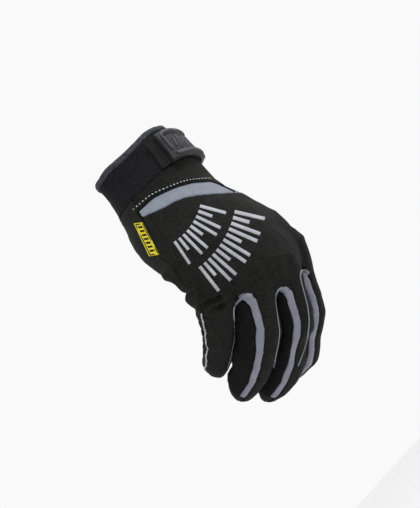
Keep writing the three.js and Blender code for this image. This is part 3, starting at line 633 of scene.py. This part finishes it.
# A stitch: its length, the gap after it, its radius and how flat it lies, and its rings, each
# with its place along half the length and its width as a share
STITCH_LENGTH = 1.2 * MM
STITCH_GAP = 1.1 * MM
STITCH_RADIUS = 0.3 * MM
STITCH_FLATNESS = 0.8
STITCH_SIDES = 8
STITCH_RINGS = ((-1.0, 0.25), (-0.8, 0.75), (-0.35, 1.0), (0.35, 1.0), (0.8, 0.75), (1.0, 0.25))


def stitch_row(name, places):
    """A row of short raised stitches."""
    points, faces = [], []
    travelled = 0.0
    for (here, normal), (there, _) in zip(places, places[1:]):
        travelled += (there - here).length
        if travelled < STITCH_LENGTH + STITCH_GAP:
            continue
        travelled = 0.0
        ahead = (there - here).normalized()
        side = ahead.cross(normal).normalized()
        first = len(points)
        for ring, width in STITCH_RINGS:
            centre = here + ahead * ring * STITCH_LENGTH / 2
            for j in range(STITCH_SIDES):
                turn = 2 * pi * j / STITCH_SIDES
                out = side * cos(turn) + normal * sin(turn) * STITCH_FLATNESS
                points.append(centre + out * STITCH_RADIUS * width)
        ring_faces(faces, first, len(STITCH_RINGS), STITCH_SIDES)
    return new_object(name, points, faces)


def laid(look, corners, rows, cols):
    """A smooth grid of places on the cloth inside four pixels, and the way that it faces."""
    a, b, c, d = (np.array(corner, float) for corner in corners)
    ways, terms, far = [], [], []
    for v in np.linspace(0, 1, rows):
        for u in np.linspace(0, 1, cols):
            column, row = (a * (1 - u) + b * u) * (1 - v) + (d * (1 - u) + c * u) * v
            hit = look(column, row)
            ways.append(sight(column, row))
            terms.append((1, u, v, u * u, u * v, v * v))
            far.append(np.nan if hit is None else (hit[0] - EYE).length)
    terms, far = np.array(terms), np.array(far)
    keep = np.abs(far - np.nanmedian(far)) < 2 * CRACK_DEPTH
    fit = np.linalg.lstsq(terms[keep], far[keep], rcond=None)[0]
    level = terms @ fit
    level = np.where(np.abs(far - level) < DENT_DEPTH, far, level)
    places = [EYE + way * length for way, length in zip(ways, level)]
    facing = (places[cols - 1] - places[0]).cross(places[-cols] - places[0]).normalized()
    return places, -facing if facing.dot(TOWARD_CAMERA) < 0 else facing


def add_patch(points, faces, places, facing, rows, cols, low, high):
    """Adds a thin closed plate over a grid of places."""
    first = len(points)
    count = rows * cols
    points.extend(place + facing * low for place in places)
    points.extend(place + facing * high for place in places)
    for i in range(rows - 1):
        for j in range(cols - 1):
            a = first + i * cols + j
            faces.append((a, a + cols, a + cols + 1, a + 1))
            faces.append((a + count, a + count + 1, a + count + cols + 1, a + count + cols))
    rim = [j for j in range(cols)] + [i * cols + cols - 1 for i in range(1, rows)]
    rim += [(rows - 1) * cols + j for j in range(cols - 2, -1, -1)]
    rim += [i * cols for i in range(rows - 2, 0, -1)]
    for here, there in zip(rim, rim[1:] + rim[:1]):
        faces.append((first + here, first + there, first + there + count, first + here + count))


def lay_patch(points, faces, look, corners, grid, span):
    """Adds a plate over the cloth inside four pixels, from one height to another."""
    places, facing = laid(look, corners, *grid)
    add_patch(points, faces, places, facing, *grid, *span)


def bar(foot, head, width):
    """The corners of a straight bar between two pixels."""
    foot, head = np.array(foot, float), np.array(head, float)
    ahead = (head - foot) / np.linalg.norm(head - foot)
    aside = np.array((-ahead[1], ahead[0])) * width / 2
    return foot - aside, foot + aside, head + aside, head - aside


# Pixels of the photograph along the sewn lines of the wrist
BAND_STITCHES = [(131, 211.5), (136.5, 206.6), (150.8, 195), (166, 187.9), (185.3, 180.7),
                 (204.4, 178.3), (211.5, 178.4)]
BAND_EDGE = [(137, 212.5), (139.8, 210.4), (152.7, 198), (166, 191.2), (180.5, 185.5),
             (194.8, 182.1), (209.2, 181.7), (218.8, 184.5), (228, 188.8), (235, 192)]
BAND_END = [(137, 212.5), (139.5, 214.5), (143.2, 218.5)]
BAND_EDGES = {"band_binding": BAND_EDGE, "band_end_binding": BAND_END}
# Pixels between the places of the stitched line, how far above the cloth it lies, and the places
# on each side that its height is evened over
STITCH_STEP = 0.4
STITCH_LIFT = 0.08 * MM
STITCH_REACH = 10
# Pixels between the places of a bound edge or of a trim's line
LINE_STEP = 1.0
BINDING_RADIUS = 0.85 * MM
BINDING_LIFT = 0.2 * MM
BINDING_FLATNESS = 0.6


def sew_wrist():
    look = surface("wrist_panel", "wrist_band", "back_panel", "palm_panel", "cuff")
    row = found(look, smooth_line(BAND_STITCHES, STITCH_STEP), STITCH_LIFT, STITCH_REACH)
    dress(stitch_row("band_stitches", row), "piping_cord", "thread_grey")
    for name, knots in BAND_EDGES.items():
        edge = found(look, smooth_line(knots, LINE_STEP), BINDING_LIFT)
        radii = [BINDING_RADIUS] * len(edge)
        dress(tube(name, edge, radii, flat=BINDING_FLATNESS), "cuff_fabric", "thread_black")


# The grey lines around each gap: pixels of the photograph and the line's half width there
GAP_LINES = {
    "little_ring": [(252, 297, 3.3), (248, 295.6, 2.8), (243.6, 296.4, 2.0), (239.2, 300.2, 1.4),
                    (235.6, 304.6, 1.0), (234, 309, 0.85), (233.8, 313.6, 0.8), (234.6, 328.9, 0.8),
                    (234.2, 338.8, 0.85), (232.6, 348, 0.85), (230.4, 358.3, 0.9), (227.6, 368, 0.9)],
    "ring_middle": [(288, 291, 3.2), (284, 288.3, 2.6), (280, 288.7, 1.9), (277, 291.8, 1.4),
                    (275.6, 296, 1.0), (275.7, 302.8, 0.85), (277.7, 318.1, 0.75), (279.4, 330.4, 0.75),
                    (278.8, 339.6, 0.75), (276.6, 351.8, 0.8), (275.4, 358.3, 0.8), (273.5, 368, 0.8)],
    "middle_index": [(308, 274.5, 2.9), (305, 271, 2.3), (301.6, 271.2, 1.6), (300.2, 275.4, 1.1),
                     (301.4, 283, 0.9), (304.1, 292.9, 0.8), (307.3, 305.9, 0.75), (308.8, 317.4, 0.75),
                     (308.9, 325, 0.75), (307.4, 336.5, 0.75), (304.6, 348, 0.8), (301, 358.3, 0.8),
                     (298, 366, 0.8)],
}
GAP_LIFT = 0.12 * MM
GAP_REACH = 3
GAP_SIDES = 12
GAP_FLATNESS = 0.4


def edge_gaps():
    between = [name for name in pieces if name.startswith(("trim", "fourchette"))]
    look = surface("back_panel", "palm_panel", *between)
    for gap, knots in GAP_LINES.items():
        pixels = smooth_line(knots, LINE_STEP)
        places = found(look, pixels, GAP_LIFT, GAP_REACH)
        radii = [pixel[2] / PIXELS_PER_MM * MM for pixel in pixels[:len(places)]]
        line = tube("edge_" + gap, places, radii, GAP_SIDES, GAP_FLATNESS)
        dress(line, "trim_rubber", "trim_rubber")


# A printed pattern of bars that spread from the wrist, in two rows over the back. Angles are in
# degrees, and the bars' distance from the centre, lengths and widths are in pixels
PRINT_CENTRE = (140, 190)
PRINT_ROWS = [
    {"from": 15, "to": 56, "bars": 9, "near": 62, "long": 27, "short": 15, "width": 3.0},
    {"from": 13, "to": 52, "bars": 12, "near": 97, "long": 31, "short": 17, "width": 3.4},
]
# Each bar's grid of places, and its underside and top from the cloth
BAR_GRID = (15, 3)
BAR_SPAN = (-0.5 * MM, 0.22 * MM)


def print_back():
    look = surface("back_panel")
    points, faces = [], []
    for row in PRINT_ROWS:
        angles = np.radians(np.linspace(row["from"], row["to"], row["bars"]))
        for k, angle in enumerate(angles):
            way = np.array((cos(angle), sin(angle)))
            length = row["short"] if k % 3 == 1 else row["long"]
            foot = np.array(PRINT_CENTRE) + way * row["near"]
            corners = bar(foot, foot + way * length, row["width"])
            lay_patch(points, faces, look, corners, BAR_GRID, BAR_SPAN)
    dress(new_object("back_print", points, faces), "trim_rubber", "print_grey")


# The tag's corners and the dark marks woven into it, as shares of its width and length
TAG_CORNERS = [(134.4, 223.6), (142.2, 222.4), (159.6, 254.6), (149.8, 256.4)]
TAG_MARKS = [(0.06, 0.02, 0.94, 0.05), (0.06, 0.95, 0.94, 0.98), (0.06, 0.05, 0.15, 0.95),
             (0.85, 0.05, 0.94, 0.95),
             *((0.25, 0.1 + 0.12 * k, 0.75, 0.155 + 0.12 * k) for k in range(7))]
TAG_GRID = (16, 5)
TAG_SPAN = (-0.6 * MM, 0.75 * MM)
MARK_GRID = (3, 3)
MARK_SPAN = (-0.3 * MM, 0.14 * MM)


def within(corners, across, along):
    """A pixel inside four corners, by its shares of their width and length."""
    a, b, c, d = (np.array(corner, float) for corner in corners)
    return (a * (1 - across) + b * across) * (1 - along) + (d * (1 - across) + c * across) * along


def make_tag():
    look = surface("palm_panel", "back_panel", "wrist_panel", "wrist_band")
    points, faces = [], []
    lay_patch(points, faces, look, TAG_CORNERS, TAG_GRID, TAG_SPAN)
    tag = new_object("side_tag", points, faces)
    pieces["side_tag"] = dress(tag, "tag_tape", "tag_tape", "side_tag")
    look = surface("side_tag")
    points, faces = [], []
    for left, top, right, bottom in TAG_MARKS:
        shares = ((left, top), (right, top), (right, bottom), (left, bottom))
        corners = [within(TAG_CORNERS, *share) for share in shares]
        lay_patch(points, faces, look, corners, MARK_GRID, MARK_SPAN)
    dress(new_object("tag_marks", points, faces), "tag_tape", "thread_black")


# The pull tab's border and ribs lie at degrees around the cuff and millimetres below its opening
TAB_BORDER = {"from": -9.5, "to": 69.0, "top": 6.8, "bottom": 23.1, "corner": 3.2}
TAB_BORDER_STEP = 0.8
TAB_BORDER_RADIUS = 1.0 * MM
TAB_BORDER_FLATNESS = 0.7
# The ribs lean, and every other one is longer
RIB_COUNT = 6
RIB_FIRST = 2
RIB_SPACING = 8.5
RIB_LEAN = 7
RIB_ENDS = ((18.4, 11.4), (20.2, 9.6))
RIB_STEP = 0.7
RIB_RADIUS = 0.75 * MM
RIB_FLATNESS = 0.8
TAB_LIFT = 0.1 * MM
CUFF_RADIUS = 29.0
# The cuff is looked at from this many of its radii
SEEN_FROM = 2.5


def girdled(trees, knots, lift):
    """Places on the cuff or on what lies on it, seen from around it."""
    places = []
    for angle, drop in knots:
        drop = drop + np.interp(angle, SLIP_ANGLES, SLIPS)
        out = Vector((sin(np.radians(angle)), -cos(np.radians(angle)), 0))
        eye = Vector((0, 0, -drop)) * MM + out * SEEN_FROM * CUFF_RADIUS * MM
        hit = nearest_hit(trees, eye, -out)
        if hit is not None:
            places.append((hit[0] + hit[1] * lift, hit[1]))
    return places


# The points around each corner of the tab's border
CORNER_POINTS = 5


def rounded_border(shape, spacing):
    """A closed rectangle with round corners, in degrees and millimetres."""
    per_degree = CUFF_RADIUS * pi / 180
    left, right = shape["from"] * per_degree, shape["to"] * per_degree
    top, bottom, corner = shape["top"], shape["bottom"], shape["corner"]
    loop = []
    for x, y, start in ((left, top, 180), (right, top, 270), (right, bottom, 0), (left, bottom, 90)):
        across = x + corner if x == left else x - corner
        down = y + corner if y == top else y - corner
        for turn in np.radians(np.linspace(start, start + 90, CORNER_POINTS)):
            loop.append((across + corner * cos(turn), down + corner * sin(turn)))
    loop = np.array([*loop, loop[0]])
    length = cumulated(loop)
    want = np.arange(0, length[-1], spacing)
    angles = np.interp(want, length, loop[:, 0]) / per_degree
    return list(zip(angles, np.interp(want, length, loop[:, 1])))


# How far the closure slips down toward the cuff's seam, in millimetres, by degrees around it
SLIP_ANGLES = (-30, 10, 50, 90, 150, 190)
SLIPS = (1.6, 2.4, 4.2, 4.0, 1.6, 0.6)
# Angles below this one are counted on from the strap's far end
SLIP_START = -50
# The voxel, the rounds of smoothing and the slot of each piece of the closure
CLOSURE = {
    "strap_tab": (0.4 * MM, 8, "tab_rubber"),
    "strap": (0.6 * MM, 10, "strap_webbing"),
    "loop_patch": (0.45 * MM, 5, "loop_pile"),
}


def slipped(piece):
    points = points_of(piece.data)
    around = np.degrees(np.arctan2(points[:, 0], -points[:, 1]))
    around = np.where(around < SLIP_START, around + 360, around)
    points[:, 2] -= np.interp(around, SLIP_ANGLES, SLIPS) * MM
    put_points(piece.data, points)
    return piece


def make_closure():
    for node, (voxel, rounds, slot) in CLOSURE.items():
        pieces[node] = dress(slipped(softened(node, voxel, rounds)), slot, slot, node)
    trees = trees_of("strap_tab")
    border = girdled(trees, rounded_border(TAB_BORDER, TAB_BORDER_STEP), TAB_LIFT)
    border += border[:2]
    radii = [TAB_BORDER_RADIUS] * len(border)
    dress(tube("tab_border", border, radii, flat=TAB_BORDER_FLATNESS), "tab_rubber", "tab_edge")
    for k in range(RIB_COUNT):
        low, high = RIB_ENDS[k % 2]
        angle = RIB_FIRST + RIB_SPACING * k
        line = smooth_line([(angle, low), (angle + RIB_LEAN, high)], RIB_STEP)
        line = girdled(trees, line, TAB_LIFT)
        rib = tube(f"tab_rib_{k}", line, [RIB_RADIUS] * len(line), flat=RIB_FLATNESS)
        dress(rib, "tab_rubber", "tab_edge")


# The little finger's middle line, which the piping runs along
LITTLE_LINE = [(-33.4, 6.3, -96.3), (-30.1, 18.1, -103.1), (-23.0, 40.7, -113.5),
               (-14.8, 62.6, -118.6), (-11.2, 71.8, -120.2)]
PIPING_RADIUS = 0.55 * MM
PIPING_TO_BACK = 0.2
PIPING_STEP = 0.35
# The lengths and heights of the waves that the piping winds in
PIPING_WAVES = [(15, 0.5), (6.5, 0.22)]
# How far outside the finger the piping is laid on from, how far above the cloth it ends up, and
# the places on each side that its height is evened over
PIPING_START = 12
PIPING_LIFT = 0.2 * MM
PIPING_REACH = 6
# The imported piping's middle is taken at stations along it, from its points near each station
PIPING_STATIONS = 40
PIPING_MARGIN = 1.5
STATION_REACH = 2.4
STATIONS_PER_KNOT = 3


def piping_line():
    """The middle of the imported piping, from the knuckle to the tip."""
    points = points_of(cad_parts["side_piping"].data) / MM
    ahead = np.array(LITTLE_LINE[-1]) - np.array(LITTLE_LINE[0])
    along = points @ (ahead / np.linalg.norm(ahead))
    stations = np.linspace(along.min() + PIPING_MARGIN, along.max() - PIPING_MARGIN, PIPING_STATIONS)
    middles = [points[np.abs(along - s) < STATION_REACH].mean(axis=0) for s in stations]
    return smooth_line(middles[::STATIONS_PER_KNOT], PIPING_STEP)


def make_piping():
    """The piping over the little finger's seam puckers every few millimetres."""
    trees = trees_of("back_panel", "palm_panel")
    line = piping_line()
    _, along = nearest_on(LITTLE_LINE, line)
    middles = read_off(LITTLE_LINE, LITTLE_LINE, along)
    starts, ways, far = [], [], []
    for k, (spot, middle) in enumerate(zip(line, middles)):
        ahead = line[min(k + 1, len(line) - 1)] - line[max(k - 1, 0)]
        out = spot - middle
        aside = np.cross(ahead, out)
        aside /= np.linalg.norm(aside)
        run = k * PIPING_STEP
        wave = sum(size * np.sin(2 * pi * run / length) for length, size in PIPING_WAVES)
        away = Vector(out / np.linalg.norm(out))
        start = Vector(spot + aside * (PIPING_TO_BACK + wave)) * MM + away * PIPING_START * MM
        hit = nearest_hit(trees, start, -away)
        if hit is not None:
            starts.append(start)
            ways.append(away)
            far.append((hit[0] - start).length)
    drops = evened(far, PIPING_REACH) - PIPING_LIFT
    places = [(start - way * drop, way) for start, way, drop in zip(starts, ways, drops)]
    cord = tube("side_piping", places, [PIPING_RADIUS] * len(places))
    pieces["side_piping"] = dress(cord, "piping_cord", "piping_cord", "side_piping")


# The pale ground far below the glove, in metres
FLOOR_HEIGHT = -0.34
FLOOR_REACH = 9
FLOOR_TONES = [(0.3, (0.9, 0.9, 0.9)), (0.7, (0.93, 0.93, 0.93))]
SKY_COLOR = (1, 1, 1, 1)
SKY_STRENGTH = 0.95


def light_scene():
    corners = [(-1, -1), (1, -1), (1, 1), (-1, 1)]
    ground = [(x * FLOOR_REACH, y * FLOOR_REACH, FLOOR_HEIGHT) for x, y in corners]
    floor = new_object("floor", ground, [(0, 1, 2, 3)])
    pale = Finish("pale_floor", 0.95)
    pale.feed("Base Color", pale.shades(pale.noise(0.6, 2.0), FLOOR_TONES))
    floor.data.materials.append(pale.material)
    world = bpy.data.worlds.new("studio")
    world.use_nodes = True
    sky = world.node_tree.nodes["Background"]
    sky.inputs["Color"].default_value = SKY_COLOR
    sky.inputs["Strength"].default_value = SKY_STRENGTH
    bpy.context.scene.world = world
    bpy.context.scene.view_settings.view_transform = "Standard"
    for row in LAMPS:
        add_lamp(row)


place_camera()
sew_panels()
make_closure()
make_tag()
make_piping()
sew_wrist()
edge_gaps()
print_back()
light_scene()
